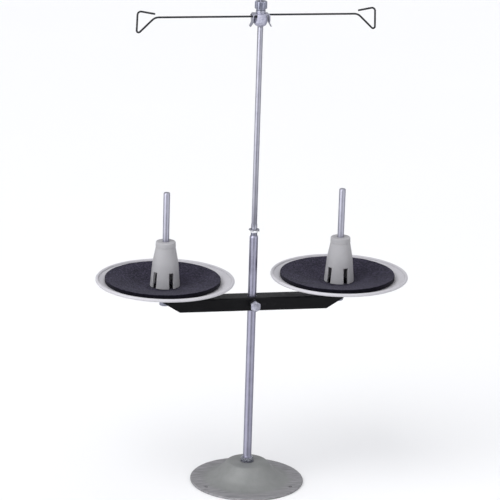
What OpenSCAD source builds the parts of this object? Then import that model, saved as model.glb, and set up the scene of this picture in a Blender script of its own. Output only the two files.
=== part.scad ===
// Two-cone thread stand: pressed base, telescopic mast, clamped crossbar with
// two dished spool plates, and a guide head with two eyelet wires.
// Millimetres, +Z up, the crossbar lies along X, the clamp bolt faces -Y.
// The origin is the middle of the base's underside.

/* [Base] */
// Diameter of the pressed base
base_d = 125; // [115:1:160]
// Height of the dome's flat top above the table
dome_h = 22.8; // [18:0.1:26]
// Thickness of the base sheet
base_t = 2.5; // [1.5:0.1:3]
// Radius of the dome's flat top, up to where it starts to round over
dome_flat_r = 19.3; // [16:0.1:21]
// Steepest slope of the dome's side, in degrees
dome_slope = 48; // [40:1:54]
// Radius of the circle that the screw holes lie on
screw_circle_r = 53.5; // [52:0.5:55]
// Diameter of each screw hole
screw_hole_d = 4.6; // [3:0.1:5]
// Number of screw holes
screw_count = 3; // [3:1:6]
// Direction of the first screw hole, in degrees from +X
screw_turn = 84; // [0:1:119]

/* [Mast] */
// Outside diameter of the lower tube
tube_d = 9.2; // [8.6:0.1:12]
// Wall thickness of the lower tube
tube_wall = 1; // [0.8:0.1:1.2]
// Height of the tube's mouth
tube_top = 286.6; // [270:0.1:320]
// Diameter of the upper rod
rod_d = 6; // [5.5:0.5:6.5]
// Height of the shoulder on the rod that carries the guide head
rod_shoulder_z = 514.4; // [480:0.1:560]
// Length of the rod that stays inside the tube at the lowest setting
rod_overlap = 90; // [60:1:120]
// Diameter of the threaded stud at the top of the rod
stud_d = 5; // [4:0.5:5]

/* [Crossbar] */
// Depth of the channel from front to back
bar_w = 22; // [18:0.5:26]
// Height of the channel
bar_h = 13.9; // [12:0.1:16]
// Wall thickness of the channel
bar_t = 1.8; // [1.5:0.1:2]
// Half of the length of the channel's top
bar_half_top = 103; // [100:1:130]
// Half of the length of the channel's lower edges
bar_half_bottom = 80.7; // [70:0.1:92]
// Height of the channel's top face
bar_top = 215; // [200:0.1:240]
// Distance between the two spool pins
pin_spacing = 192; // [176:1:200]
// Height of the clamp bolt's axis below the channel's top face
bolt_drop = 6.2; // [5:0.1:7]

/* [Spool stations] */
// Diameter of each spool pin
pin_d = 7; // [6.5:0.1:8]
// Height of the top of the spool pins
pin_top = 333; // [300:1:360]
// Diameter of each dished plate
plate_d = 150; // [130:1:160]
// Height of the plate's rim above the channel's top face
plate_h = 22.2; // [20:0.1:26]
// Wall thickness of the plate
plate_t = 1.6; // [1.2:0.1:2]
// Diameter of each foam pad
pad_d = 125; // [110:1:130]
// Thickness of the foam pad
pad_t = 4.8; // [3:0.1:6]
// Depth that the pad sags from its edge to the foot of the cone adapter
pad_sag = 9.7; // [4:0.1:10]
// Distance along X from the left pin to the middle of its foam pad
pad_off_left = -2.6; // [-3:0.1:3]
// Distance along X from the right pin to the middle of its foam pad
pad_off_right = -2; // [-3:0.1:3]
// Height of each cone adapter
adapter_h = 49.6; // [45:0.1:60]
// Radius of the adapter's foot
adapter_foot_r = 16.3; // [15:0.1:18]
// Number of slots in the adapter's foot
slot_count = 5; // [4:1:6]
// Width of each slot
slot_w = 5.3; // [2:0.1:6]
// Height of each slot
slot_h = 17.5; // [12:0.5:22]

/* [Guide head] */
// Diameter of the guide wires
wire_d = 2; // [1.4:0.1:2.2]
// Distance of each wire's axis from the middle of the stud
wire_offset = 4.5; // [4.4:0.1:4.8]
// Reach of the left guide wire from the mast
reach_left = 132.3; // [110:0.1:136]
// Reach of the right guide wire from the mast
reach_right = 125.3; // [110:0.1:136]
// Number of flutes round the thumb knob
flutes = 16; // [12:1:20]

/* [Hidden] */
$fn = 64;

// Clearances
run_fit = 0.06;     // radial gap of a shaft that turns or slides in its hole
face_gap = 0.3;     // gap between faces that move past each other
thread_gap = 0.04;  // radial gap drawn between a thread and its nut
eps = 0.1;          // how far a cutter runs past a face

// Base and foot fixings
dome_round_r = 5;                      // outside radius of the dome's shoulder
flare_r = 24;                          // outside radius where the dome meets the flange
rim_edge = 0.8;                        // chamfer of the base's rim
dome_rise = dome_h - base_t;
straight_run = (dome_rise - (dome_round_r + flare_r) * (1 - cos(dome_slope))) / sin(dome_slope);
flange_r = dome_flat_r + (dome_round_r + flare_r) * sin(dome_slope) + straight_run * cos(dome_slope);
arc_steps = 8;
tube_r = tube_d / 2;
tube_bore_r = tube_r - tube_wall;
tube_foot_z = 9;                       // lower end of the tube, clear of the table
foot_washer_r = 7.4;
foot_washer_t = 1.2;
foot_nut_af = 12;
foot_nut_h = 4;
under_washer_t = 1.2;

// Mast
mouth_h = 5.6;                         // height of the tube's swaged mouth
rod_r = rod_d / 2;
rod_bore_r = rod_r + run_fit;
mouth_r = rod_bore_r + 0.45;           // outside radius of the mouth's straight upper half
mast_washer_r = 4.2;
mast_washer_t = 2.3;
clip_z = tube_top + mast_washer_t + face_gap;
clip_t = 0.8;
clip_r = 5.8;
clip_neck_r = 2.5;                     // radius of the rod in the clip's groove
clip_tab_drop = 2.2;                   // how far the clip's tab is bent down
rod_foot_z = tube_top - rod_overlap;
guide_h = 13;                          // length of the nylon guide on the rod's foot
guide_spigot_r = 2;
crimp_z = clip_z + 2.3;                // lower end of the crimped ears
crimp_h = 5;
crimp_r = 3.4;
crimp_w = 2.4;
stud_r = stud_d / 2;
stud_top = rod_shoulder_z + 27.8;

// Crossbar and clamp
bar_bottom = bar_top - bar_h;
bar_bend_r = 2.6;                      // outside radius of the channel's bends
neck_r = tube_r + 0.9;                 // neck of the sleeve in the web's hole
sleeve_r = bar_w / 2 - bar_t - face_gap;
sleeve_slit = 1.5;
bolt_z = bar_top - bolt_drop;
bolt_r = 3;
bolt_af = 10;
clamp_nut_h = 5;
bolt_head_y = -bar_w / 2 - clamp_nut_h - 2.5;
bolt_head_h = 4.5;
bolt_tip_y = -(bar_w / 2 - bar_t);

// Spool stations
pin_r = pin_d / 2;
pin_x = pin_spacing / 2;
rim_z = bar_top + plate_h;
rim_roll_r = 1.8;                      // radius of the plate's rolled rim
boss_r = 12;
boss_h = 5.9;
plate_floor_z = bar_top + boss_h + plate_t;
plate_floor_r = 21;
plate_r = plate_d / 2;
cone_top_r = plate_r - rim_roll_r;
cone_top_z = rim_z - rim_roll_r;
cone_rise = (cone_top_z - plate_floor_z) / (cone_top_r - rim_roll_r - plate_floor_r);
pad_r = pad_d / 2;
pad_off = max(abs(pad_off_left), abs(pad_off_right));
pad_hole_r = 11;
pad_rest_r = adapter_foot_r + pad_off + 0.1;  // the pad is flat inside this radius
pad_edge_z = plate_floor_z + (pad_r + pad_off - plate_floor_r) * cone_rise + 0.1;
pad_top_z = pad_edge_z + pad_t;
pad_slope = pad_sag / (pad_r - pad_rest_r);
pad_round = 0.8;
m6_r = 3;
m6_af = 10;
m6_h = 5;
m6_washer_t = 1.2;
top_nut_z = plate_floor_z + m6_washer_t;
pin_shoulder_z = top_nut_z + m6_h + 0.4;
under_nut_z = bar_top - bar_t - m6_washer_t - m6_h;
pin_foot_z = under_nut_z - 0.8;
adapter_z = pad_top_z - pad_sag + face_gap;
pin_groove_z = adapter_z + adapter_h + 0.6;  // groove that marks the start of the pin's free end
pin_groove_h = 0.8;
pin_groove_depth = 0.4;
adapter_t = 1.8;
adapter_top_r = 10.6;
adapter_band_r = 10.9;                 // radius at the lower edge of the top band
adapter_band_h = 5.4;
adapter_waist_r = 14;
adapter_waist_h = 25.9;                // height of the change of taper above the foot
adapter_tube_r = 5.2;
adapter_tube_h = 42;
adapter_lid_t = 2.5;
slot_turn_left = -73;                  // direction of the first slot, in degrees from +X
slot_turn_right = -75;

// Guide head
wire_r = wire_d / 2;
wire_bore_r = wire_r + run_fit;
block_z = rod_shoulder_z - 1.7;
wire_z = rod_shoulder_z + 9.6;
block_top = wire_z + wire_r + face_gap;
block_r = 7.2;
block_round_r = 5.6;                   // radius of the block's rounded lower half
block_round_z = 5.2;                   // height of that radius's centre above the block's foot
saddle_t = 1.2;
saddle_w = 12.6;                       // width of the legs
saddle_top_w = 2 * (wire_offset + wire_r) - 0.3;  // width between the block's front and back walls
saddle_foot_w = 5;                     // width of the legs' feet
saddle_half = 9.3;
saddle_leg_z = block_top - 8.2;        // height where the legs start to flare
saddle_flare = 2.5;
saddle_flare_h = 4.3;
saddle_bend_r = 2;
collar_z = block_top + saddle_t;
collar_r = 5.3;
collar_h = 3.2;
knob_z = collar_z + collar_h + face_gap;
knob_neck_r = 4.9;
knob_neck_h = 1.6;
knob_r = 6.6;
knob_h = 8;
flute_r = 0.8;
wire_tail = 135.3;                     // straight length from the eyelet's far side to the inner end
bend_r_wide = 10;
bend_r_tight = 2;
bend_r_top = 3.5;
eyelet_w = 19.3;                       // width of the eyelet's triangle
eyelet_drop = 18.7;                    // its lower corner below the wire
eyelet_rise = 7;                       // its upper corner above the wire
eyelet_lean = 0.9;
eyelet_end_rise = 3.6;

// Points of an arc about c, from angle a0 to a1
function arc(c, r, a0, a1, n = arc_steps) =
    [for (i = [0:n]) let (a = a0 + (a1 - a0) * i / n) c + r * [cos(a), sin(a)]];

// Height of the foam pad's top face at radius r
function pad_face(r) = pad_top_z - (pad_r - max(r, pad_rest_r)) * pad_slope;

// The base's upper or lower profile from the flat top out to the flange
function bell(inset) = concat(
    arc([dome_flat_r, dome_h - dome_round_r], dome_round_r - inset, 90, 90 - dome_slope),
    arc([flange_r, base_t + flare_r], flare_r + inset, 270 - dome_slope, 270)
);

// A hexagon nut with chamfered corners, standing on z = 0
module hex_nut(af, h, bore) {
    corner_r = af / 2 / cos(30);
    chamfer = 0.12 * af / 2;
    difference() {
        intersection() {
            cylinder(r = corner_r, h = h, $fn = 6);
            rotate_extrude()
                polygon([[0, 0], [af / 2, 0], [corner_r + eps, chamfer],
                         [corner_r + eps, h - chamfer], [af / 2, h], [0, h]]);
        }
        translate([0, 0, -eps]) cylinder(r = bore, h = h + 2 * eps);
    }
}

// A flat washer standing on z = 0
module washer(r, t, bore) {
    rotate_extrude() polygon([[bore, 0], [r, 0], [r, t * 0.8], [r - t * 0.2, t], [bore, t]]);
}

module base_plate() {
    color([0.55, 0.57, 0.56])
    difference() {
        rotate_extrude($fn = 96)
            polygon(concat(
                [[tube_r + 0.15, dome_h]],
                bell(0),
                [[base_d / 2 - rim_edge, base_t], [base_d / 2, base_t - rim_edge],
                 [base_d / 2, rim_edge], [base_d / 2 - rim_edge, 0]],
                [for (i = [2 * arc_steps + 1:-1:0]) bell(base_t)[i]],
                [[tube_r + 0.15, dome_h - base_t]]));
        for (i = [0:screw_count - 1])
            rotate(screw_turn + i * 360 / screw_count)
                translate([screw_circle_r, 0, -eps])
                    cylinder(d = screw_hole_d, h = base_t + 3);
    }
}

module foot_washer() {
    color([0.3, 0.3, 0.34])
    translate([0, 0, dome_h]) washer(foot_washer_r, foot_washer_t, tube_r + 0.15);
}

module foot_nut() {
    color([0.75, 0.75, 0.82])
    translate([0, 0, dome_h + foot_washer_t])
        hex_nut(foot_nut_af, foot_nut_h, tube_r + thread_gap);
}

module under_washer() {
    color([0.75, 0.75, 0.82])
    translate([0, 0, dome_h - base_t - under_washer_t])
        washer(foot_washer_r, under_washer_t, tube_r + 0.15);
}

module under_nut() {
    color([0.75, 0.75, 0.82])
    translate([0, 0, dome_h - base_t - under_washer_t - foot_nut_h])
        hex_nut(foot_nut_af, foot_nut_h, tube_r + thread_gap);
}

module lower_tube() {
    color([0.74, 0.74, 0.82])
    rotate_extrude()
        polygon([[tube_bore_r, tube_foot_z], [tube_r, tube_foot_z],
                 [tube_r, tube_top - mouth_h],
                 [mouth_r, tube_top - mouth_h / 2], [mouth_r, tube_top],
                 [rod_bore_r, tube_top], [rod_bore_r, tube_top - mouth_h / 2 - 0.5],
                 [tube_bore_r, tube_top - mouth_h - 1.5]]);
}

// Nylon washer that the stop clip comes to rest on
module mast_washer() {
    color([0.92, 0.92, 0.95])
    translate([0, 0, tube_top]) washer(mast_washer_r, mast_washer_t, rod_bore_r);
}

module upper_rod() {
    color([0.74, 0.74, 0.82])
    union() {
        rotate_extrude()
            polygon([[0, rod_foot_z], [guide_spigot_r, rod_foot_z],
                     [guide_spigot_r, rod_foot_z + guide_h], [rod_r, rod_foot_z + guide_h],
                     [rod_r, clip_z - 0.1], [clip_neck_r, clip_z - 0.1],
                     [clip_neck_r, clip_z + clip_t + 0.1], [rod_r, clip_z + clip_t + 0.1],
                     [rod_r, rod_shoulder_z], [stud_r, rod_shoulder_z],
                     [stud_r, stud_top - 0.8], [stud_r - 0.8, stud_top], [0, stud_top]]);
        // Crimped ears just above the stop clip
        intersection() {
            translate([0, 0, crimp_z]) cylinder(r = crimp_r, h = crimp_h);
            translate([-crimp_r, -crimp_w / 2, crimp_z]) cube([2 * crimp_r, crimp_w, crimp_h]);
        }
    }
}

// Nylon guide on the rod's foot, sliding in the tube
module rod_guide() {
    guide_r = tube_bore_r - run_fit;
    color([0.9, 0.9, 0.9])
    translate([0, 0, rod_foot_z])
        rotate_extrude()
            polygon([[guide_spigot_r + 0.02, 0], [guide_r - 0.8, 0], [guide_r, 0.8],
                     [guide_r, guide_h - 0.9], [guide_r - 0.8, guide_h - 0.1],
                     [guide_spigot_r + 0.02, guide_h - 0.1]]);
}

// Open spring clip in the rod's groove, with one tab bent down
module stop_clip() {
    color([0.45, 0.45, 0.5])
    translate([0, 0, clip_z])
    union() {
        difference() {
            cylinder(r = clip_r, h = clip_t);
            translate([0, 0, -eps]) cylinder(r = clip_neck_r + 0.02, h = clip_t + 2 * eps);
            translate([-2.1, -clip_r - 1, -eps]) cube([4.2, clip_r + 1, clip_t + 2 * eps]);
        }
        translate([clip_r - 1.3, -1.6, -clip_tab_drop]) cube([1, 3.2, clip_tab_drop + 0.5]);
    }
}

// Slit sleeve round the tube that the bolt squeezes; its neck stands in the crossbar's web
module clamp_sleeve() {
    sleeve_z = bar_bottom + 0.8;
    sleeve_top = bar_top - bar_t - face_gap;
    neck_top = bar_top - 0.2;
    color([0.6, 0.6, 0.65])
    difference() {
        rotate_extrude()
            polygon([[tube_r + run_fit, sleeve_z], [sleeve_r, sleeve_z], [sleeve_r, sleeve_top],
                     [neck_r, sleeve_top], [neck_r, neck_top], [tube_r + run_fit, neck_top]]);
        translate([-sleeve_slit / 2, tube_r - 1, sleeve_z - eps])
            cube([sleeve_slit, bar_w, bar_h]);
    }
}

module crossbar() {
    half = bar_w / 2;
    inner_bend_r = bar_bend_r - bar_t;
    bend = [half - bar_bend_r, bar_h - bar_bend_r];
    end_angle = atan2(bar_h, bar_half_top - bar_half_bottom);
    cut = 60;
    color([0.1, 0.1, 0.11])
    difference() {
        translate([-bar_half_top, 0, bar_bottom]) rotate([90, 0, 90])
            linear_extrude(2 * bar_half_top)
                polygon(concat(
                    [[-half, 0]],
                    arc([-bend[0], bend[1]], bar_bend_r, 180, 90, 5),
                    arc(bend, bar_bend_r, 90, 0, 5),
                    [[half, 0], [half - bar_t, 0]],
                    arc(bend, inner_bend_r, 0, 90, 5),
                    arc([-bend[0], bend[1]], inner_bend_r, 90, 180, 5),
                    [[-half + bar_t, 0]]));
        // Slanted ends
        for (side = [-1, 1])
            translate([side * bar_half_bottom, 0, bar_bottom]) rotate([0, -side * end_angle, 0])
                translate([side > 0 ? 0 : -cut, -half - 1, -cut])
                    cube([cut, bar_w + 2, cut]);
        // Hole for the sleeve's neck, and one for each pin
        translate([0, 0, bar_top - 4]) cylinder(r = neck_r + run_fit, h = 5);
        for (side = [-1, 1])
            translate([side * pin_x, 0, bar_top - 4]) cylinder(r = m6_r + 0.2, h = 5);
        // Hole for the bolt in the front flange
        translate([0, -half + bar_t + 1, bolt_z]) rotate([90, 0, 0])
            cylinder(r = bolt_r + face_gap, h = bar_t + 2);
    }
}

// Nut welded to the front flange
module clamp_nut() {
    color([0.12, 0.12, 0.13])
    translate([0, -bar_w / 2, bolt_z]) rotate([90, 30, 0])
        hex_nut(bolt_af, clamp_nut_h, bolt_r + run_fit);
}

module clamp_bolt() {
    corner_r = bolt_af / 2 / cos(30);
    color([0.78, 0.78, 0.82])
    translate([0, 0, bolt_z]) rotate([90, 30, 0])
    difference() {
        union() {
            translate([0, 0, -bolt_tip_y])
                cylinder(r = bolt_r, h = -bolt_head_y + bolt_tip_y + eps);
            intersection() {
                translate([0, 0, -bolt_head_y]) cylinder(r = corner_r, h = bolt_head_h, $fn = 6);
                translate([0, 0, -bolt_head_y]) rotate_extrude()
                    polygon([[0, 0], [corner_r + eps, 0], [corner_r + eps, bolt_head_h - 0.8],
                             [bolt_af / 2 - 0.2, bolt_head_h], [0, bolt_head_h]]);
            }
        }
        translate([0, 0, -bolt_head_y + bolt_head_h - 0.5]) cylinder(r1 = 2.6, r2 = 3.4, h = 0.6);
    }
}

module spool_plate(side) {
    color([0.88, 0.88, 0.9])
    translate([side * pin_x, 0, 0])
        rotate_extrude($fn = 96)
            polygon(concat(
                [[m6_r + 0.2, bar_top], [boss_r, bar_top], [boss_r, plate_floor_z - plate_t],
                 [plate_floor_r + 0.3, plate_floor_z - plate_t]],
                arc([cone_top_r, cone_top_z], rim_roll_r, -110, 180, 14),
                [[plate_floor_r, plate_floor_z], [m6_r + 0.2, plate_floor_z]]));
}

module foam_pad(side) {
    color([0.24, 0.24, 0.27])
    translate([side * pin_x + (side < 0 ? pad_off_left : pad_off_right), 0, 0])
        rotate_extrude($fn = 96)
            polygon([[pad_hole_r, pad_face(pad_hole_r) - pad_t],
                     [pad_rest_r, pad_face(pad_rest_r) - pad_t],
                     [pad_r - pad_round, pad_top_z - pad_t - pad_slope * pad_round],
                     [pad_r, pad_top_z - pad_t + pad_round],
                     [pad_r, pad_top_z - pad_round],
                     [pad_r - pad_round, pad_face(pad_r - pad_round)],
                     [pad_rest_r, pad_face(pad_rest_r)],
                     [pad_hole_r, pad_face(pad_hole_r)]]);
}

module spool_pin(side) {
    color([0.78, 0.78, 0.85])
    translate([side * pin_x, 0, 0])
        rotate_extrude()
            polygon([[0, pin_foot_z], [m6_r - 0.6, pin_foot_z], [m6_r, pin_foot_z + 0.6],
                     [m6_r, pin_shoulder_z], [pin_r, pin_shoulder_z],
                     [pin_r, pin_groove_z], [pin_r - pin_groove_depth, pin_groove_z],
                     [pin_r - pin_groove_depth, pin_groove_z + pin_groove_h],
                     [pin_r, pin_groove_z + pin_groove_h],
                     [pin_r, pin_top - 0.7], [pin_r - 0.7, pin_top], [0, pin_top]]);
}

module pin_top_washer(side) {
    color([0.75, 0.75, 0.8])
    translate([side * pin_x, 0, plate_floor_z]) washer(8, m6_washer_t, m6_r + 0.2);
}

module pin_top_nut(side) {
    color([0.75, 0.75, 0.8])
    translate([side * pin_x, 0, top_nut_z]) hex_nut(m6_af, m6_h, m6_r + thread_gap);
}

module pin_under_washer(side) {
    color([0.75, 0.75, 0.8])
    translate([side * pin_x, 0, bar_top - bar_t - m6_washer_t])
        washer(6, m6_washer_t, m6_r + 0.2);
}

module pin_under_nut(side) {
    color([0.75, 0.75, 0.8])
    translate([side * pin_x, 0, under_nut_z]) hex_nut(m6_af, m6_h, m6_r + thread_gap);
}

// Hollow plastic cone with a slotted foot and a guide tube round the pin
module cone_adapter(side) {
    h = adapter_h;
    bore = pin_r + run_fit;
    first_slot = side < 0 ? slot_turn_left : slot_turn_right;
    color([0.72, 0.72, 0.71])
    translate([side * pin_x, 0, adapter_z])
    difference() {
        rotate_extrude()
            polygon([[adapter_foot_r - adapter_t, 0], [adapter_foot_r, 0],
                     [adapter_waist_r, adapter_waist_h],
                     [adapter_band_r, h - adapter_band_h], [adapter_top_r, h - 0.8],
                     [adapter_top_r - 0.8, h], [bore, h],
                     [bore, h - adapter_tube_h], [adapter_tube_r, h - adapter_tube_h],
                     [adapter_tube_r, h - adapter_lid_t],
                     [adapter_band_r - adapter_t, h - adapter_lid_t],
                     [adapter_band_r - adapter_t, h - adapter_band_h],
                     [adapter_waist_r - adapter_t, adapter_waist_h]]);
        for (i = [0:slot_count - 1])
            rotate(first_slot + i * 360 / slot_count)
                translate([pin_r + 4, -slot_w / 2, -eps])
                    cube([adapter_foot_r, slot_w, slot_h]);
    }
}

// Block on the rod's shoulder, with a groove for each guide wire and a channel for the saddle
module guide_block() {
    bore = stud_r + run_fit;
    counterbore = rod_r + face_gap;
    step_z = rod_shoulder_z + face_gap;
    wall_top = collar_z - 0.2;
    channel_half = wire_offset + wire_bore_r;
    color([0.7, 0.7, 0.77])
    difference() {
        rotate_extrude()
            polygon(concat(
                [[counterbore, block_z]],
                arc([block_r - block_round_r, block_z + block_round_z], block_round_r,
                    -asin(block_round_z / block_round_r), 0),
                [[block_r, wall_top - 0.9], [block_r - 0.6, wall_top],
                 [bore, wall_top], [bore, step_z], [counterbore, step_z]]));
        translate([-block_r - 1, -channel_half, block_top])
            cube([2 * block_r + 2, 2 * channel_half, saddle_t + 1]);
        for (side = [-1, 1])
            translate([0, side * wire_offset, wire_z]) {
                rotate([0, 90, 0]) cylinder(r = wire_bore_r, h = 20, center = true);
                translate([-10, -wire_bore_r, 0]) cube([20, 2 * wire_bore_r, 2]);
            }
    }
}

// Bent strip that pinches the wires into the block's grooves
module guide_saddle() {
    leg = saddle_half - saddle_t;
    foot_z = saddle_leg_z - saddle_flare_h;
    tip = [saddle_half + saddle_flare, foot_z];
    skew = saddle_t * 0.8;
    corner = [saddle_half - saddle_bend_r, collar_z - saddle_bend_r];
    right = concat(
        arc(corner, saddle_bend_r, 90, 0, 4),
        [[saddle_half, saddle_leg_z], tip, [tip[0] - skew, tip[1] - 0.6], [leg, saddle_leg_z - 0.6]],
        arc(corner, saddle_bend_r - saddle_t, 0, 90, 4));
    color([0.6, 0.6, 0.66])
    difference() {
        intersection() {
            translate([0, saddle_w / 2, 0]) rotate([90, 0, 0])
                linear_extrude(saddle_w)
                    polygon(concat(right,
                                   [for (i = [len(right) - 1:-1:0]) [-right[i][0], right[i][1]]]));
            // The legs narrow towards their feet
            rotate([90, 0, 90]) linear_extrude(4 * saddle_half, center = true)
                polygon([[-saddle_w / 2, collar_z + 1], [-saddle_w / 2, saddle_leg_z + 3],
                         [-saddle_foot_w / 2, foot_z - 1], [saddle_foot_w / 2, foot_z - 1],
                         [saddle_w / 2, saddle_leg_z + 3], [saddle_w / 2, collar_z + 1]]);
        }
        translate([0, 0, block_top - 1]) cylinder(r = stud_r + 0.2, h = 4);
        for (side = [-1, 1]) {
            translate([0, side * wire_offset, wire_z]) rotate([0, 90, 0])
                cylinder(r = wire_r + face_gap, h = 3 * saddle_half, center = true);
            // The top is narrower than the legs
            translate([-corner[0], side > 0 ? saddle_top_w / 2 : -saddle_w, block_top - 1])
                cube([2 * corner[0], saddle_w - saddle_top_w / 2, saddle_t + 2]);
        }
    }
}

// Corners of a path in the XZ plane, rounded to the given bend radii
function rounded_path(corners, radii) =
    let (n = len(corners),
         dirs = [for (i = [0:n - 2]) let (d = corners[i + 1] - corners[i]) d / norm(d)])
    concat(
        [corners[0]],
        [for (i = [1:n - 2])
            let (turn = atan2(cross(dirs[i - 1], dirs[i]), dirs[i - 1] * dirs[i]),
                 side = sign(turn) * [-dirs[i - 1][1], dirs[i - 1][0]],
                 start = corners[i] - radii[i - 1] * tan(abs(turn) / 2) * dirs[i - 1],
                 from = atan2(-side[1], -side[0]))
            each arc(start + radii[i - 1] * side, radii[i - 1], from, from + turn)],
        [corners[n - 1]]);

// Round wire of radius r swept along a path in the XZ plane
module bent_wire(path, r) {
    sides = 16;
    n = len(path);
    tangents = [for (i = [0:n - 1])
        let (d = path[min(i + 1, n - 1)] - path[max(i - 1, 0)]) d / norm(d)];
    rings = [for (i = [0:n - 1]) for (k = [0:sides - 1])
        let (a = k * 360 / sides, out = r * cos(a))
        [path[i][0] - tangents[i][1] * out, r * sin(a), path[i][1] + tangents[i][0] * out]];
    walls = [for (i = [0:n - 2]) for (k = [0:sides - 1])
        let (j = (k + 1) % sides)
        [i * sides + k, (i + 1) * sides + k, (i + 1) * sides + j, i * sides + j]];
    first = [for (k = [0:sides - 1]) k];
    last = [for (k = [sides - 1:-1:0]) (n - 1) * sides + k];
    polyhedron(rings, concat([first, last], walls), convexity = 6);
}

// Straight wire with an open triangular eyelet at its end, reaching out along +X
module guide_wire(reach) {
    color([0.15, 0.15, 0.16])
    bent_wire(
        rounded_path(
            [[reach - wire_tail, wire_z], [reach - eyelet_w, wire_z],
             [reach, wire_z - eyelet_drop], [reach - eyelet_lean, wire_z + eyelet_rise],
             [reach - eyelet_w, wire_z + eyelet_end_rise]],
            [bend_r_wide, bend_r_tight, bend_r_top]),
        wire_r);
}

module guide_wire_left() {
    translate([0, -wire_offset, 0]) mirror([1, 0, 0]) guide_wire(reach_left);
}

module guide_wire_right() {
    translate([0, wire_offset, 0]) guide_wire(reach_right);
}

module lock_collar() {
    color([0.8, 0.8, 0.86])
    translate([0, 0, collar_z])
        rotate_extrude()
            polygon([[stud_r + 0.15, 0], [collar_r - 0.3, 0], [collar_r, 0.3],
                     [collar_r, collar_h - 0.3], [collar_r - 0.3, collar_h],
                     [stud_r + 0.15, collar_h]]);
}

module thumb_knob() {
    bore = stud_r + run_fit;
    color([0.7, 0.7, 0.76])
    translate([0, 0, knob_z])
    difference() {
        rotate_extrude()
            polygon([[bore, 0], [knob_neck_r, 0], [knob_neck_r, knob_neck_h],
                     [knob_r - 0.6, knob_neck_h], [knob_r, knob_neck_h + 0.6],
                     [knob_r, knob_neck_h + knob_h - 0.8],
                     [knob_r - 0.8, knob_neck_h + knob_h], [bore, knob_neck_h + knob_h]]);
        for (i = [0:flutes - 1])
            rotate(i * 360 / flutes) translate([knob_r + 0.2, 0, knob_neck_h - eps])
                cylinder(r = flute_r, h = knob_h + 1, $fn = 20);
    }
}

base_plate();
foot_washer();
foot_nut();
under_washer();
under_nut();
lower_tube();
mast_washer();
upper_rod();
rod_guide();
stop_clip();
clamp_sleeve();
crossbar();
clamp_nut();
clamp_bolt();
spool_plate(-1);  // spool_plate_left
spool_plate(1);  // spool_plate_right
foam_pad(-1);  // foam_pad_left
foam_pad(1);  // foam_pad_right
spool_pin(-1);  // spool_pin_left
spool_pin(1);  // spool_pin_right
pin_top_washer(-1);  // pin_top_washer_left
pin_top_washer(1);  // pin_top_washer_right
pin_top_nut(-1);  // pin_top_nut_left
pin_top_nut(1);  // pin_top_nut_right
pin_under_washer(-1);  // pin_under_washer_left
pin_under_washer(1);  // pin_under_washer_right
pin_under_nut(-1);  // pin_under_nut_left
pin_under_nut(1);  // pin_under_nut_right
cone_adapter(-1);  // cone_adapter_left
cone_adapter(1);  // cone_adapter_right
guide_block();
guide_saddle();
guide_wire_left();
guide_wire_right();
lock_collar();
thumb_knob();
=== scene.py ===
"""Looks of the two-cone thread stand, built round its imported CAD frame. Metres, +Z up."""
from math import asin, atan2, cos, hypot, pi, radians, sin, tan, tau

import bmesh
import bpy
from mathutils import Matrix, Vector, noise


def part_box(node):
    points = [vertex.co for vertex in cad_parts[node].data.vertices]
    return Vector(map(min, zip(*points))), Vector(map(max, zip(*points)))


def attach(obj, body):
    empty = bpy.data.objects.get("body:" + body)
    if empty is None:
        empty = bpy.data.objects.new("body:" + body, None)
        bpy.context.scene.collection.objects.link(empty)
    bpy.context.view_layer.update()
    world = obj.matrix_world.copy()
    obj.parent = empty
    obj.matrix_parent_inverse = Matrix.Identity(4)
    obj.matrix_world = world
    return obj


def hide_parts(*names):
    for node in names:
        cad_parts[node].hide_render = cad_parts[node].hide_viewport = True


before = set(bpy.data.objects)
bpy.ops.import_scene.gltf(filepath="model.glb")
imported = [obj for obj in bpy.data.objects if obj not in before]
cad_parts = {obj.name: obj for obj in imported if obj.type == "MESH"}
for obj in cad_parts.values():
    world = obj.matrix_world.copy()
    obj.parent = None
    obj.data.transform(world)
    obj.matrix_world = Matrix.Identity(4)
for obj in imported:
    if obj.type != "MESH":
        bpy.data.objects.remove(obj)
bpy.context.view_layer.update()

MM = 0.001
SIDES = {"left": -1, "right": 1}
CHAMFER_SLOPE = tan(radians(30))
CLIP_THICK = 0.8 * MM           # sheet of the stop clip
WIRE_OFFSET = 4.5 * MM          # each guide wire passes this far before or behind the stud
WIRE_DEPTH = 2.3 * MM           # the wires' axes lie this far below the guide block's top
ROD_HOLE = 3.06 * MM            # radius of the holes that the upper rod slides through
STUD_HOLE = 2.56 * MM           # radius of the block's and the knob's hole on the stud
FOOT_NUT = 12 * MM, 4.64 * MM   # across flats and bore radius of the nuts on the tube's foot
FOOT_WASHER_HOLE = 4.75 * MM
PIN_NUT = 10 * MM, 3.04 * MM    # the same for the nuts on the pins
PIN_WASHER_HOLE = 3.2 * MM


# ---------------------------------------------------------------- mesh helpers

def linked(name, data):
    """New object in the scene for a mesh, light or camera."""
    made = bpy.data.objects.new(name, data)
    bpy.context.scene.collection.objects.link(made)
    return made


def solid(name, mesh):
    """Turns a bmesh into an object and frees it."""
    data = bpy.data.meshes.new(name)
    mesh.to_mesh(data)
    mesh.free()
    return linked(name, data)


def piece(name, mesh, body, material, replaced=(), edge_angle=35):
    """Turns a bmesh into a piece that rides on a body and stands for CAD nodes."""
    bmesh.ops.remove_doubles(mesh, verts=mesh.verts, dist=1e-7)
    bmesh.ops.recalc_face_normals(mesh, faces=mesh.faces)
    made = solid(name, mesh)
    made.data.materials.append(material)
    shade(made, edge_angle)
    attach(made, body)
    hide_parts(*replaced)
    return made


def shade(made, edge_angle):
    """Smooth shading, with the edges over this angle kept sharp."""
    made.data.polygons.foreach_set("use_smooth", [True] * len(made.data.polygons))
    made.data.set_sharp_from_angle(angle=radians(edge_angle))


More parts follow.
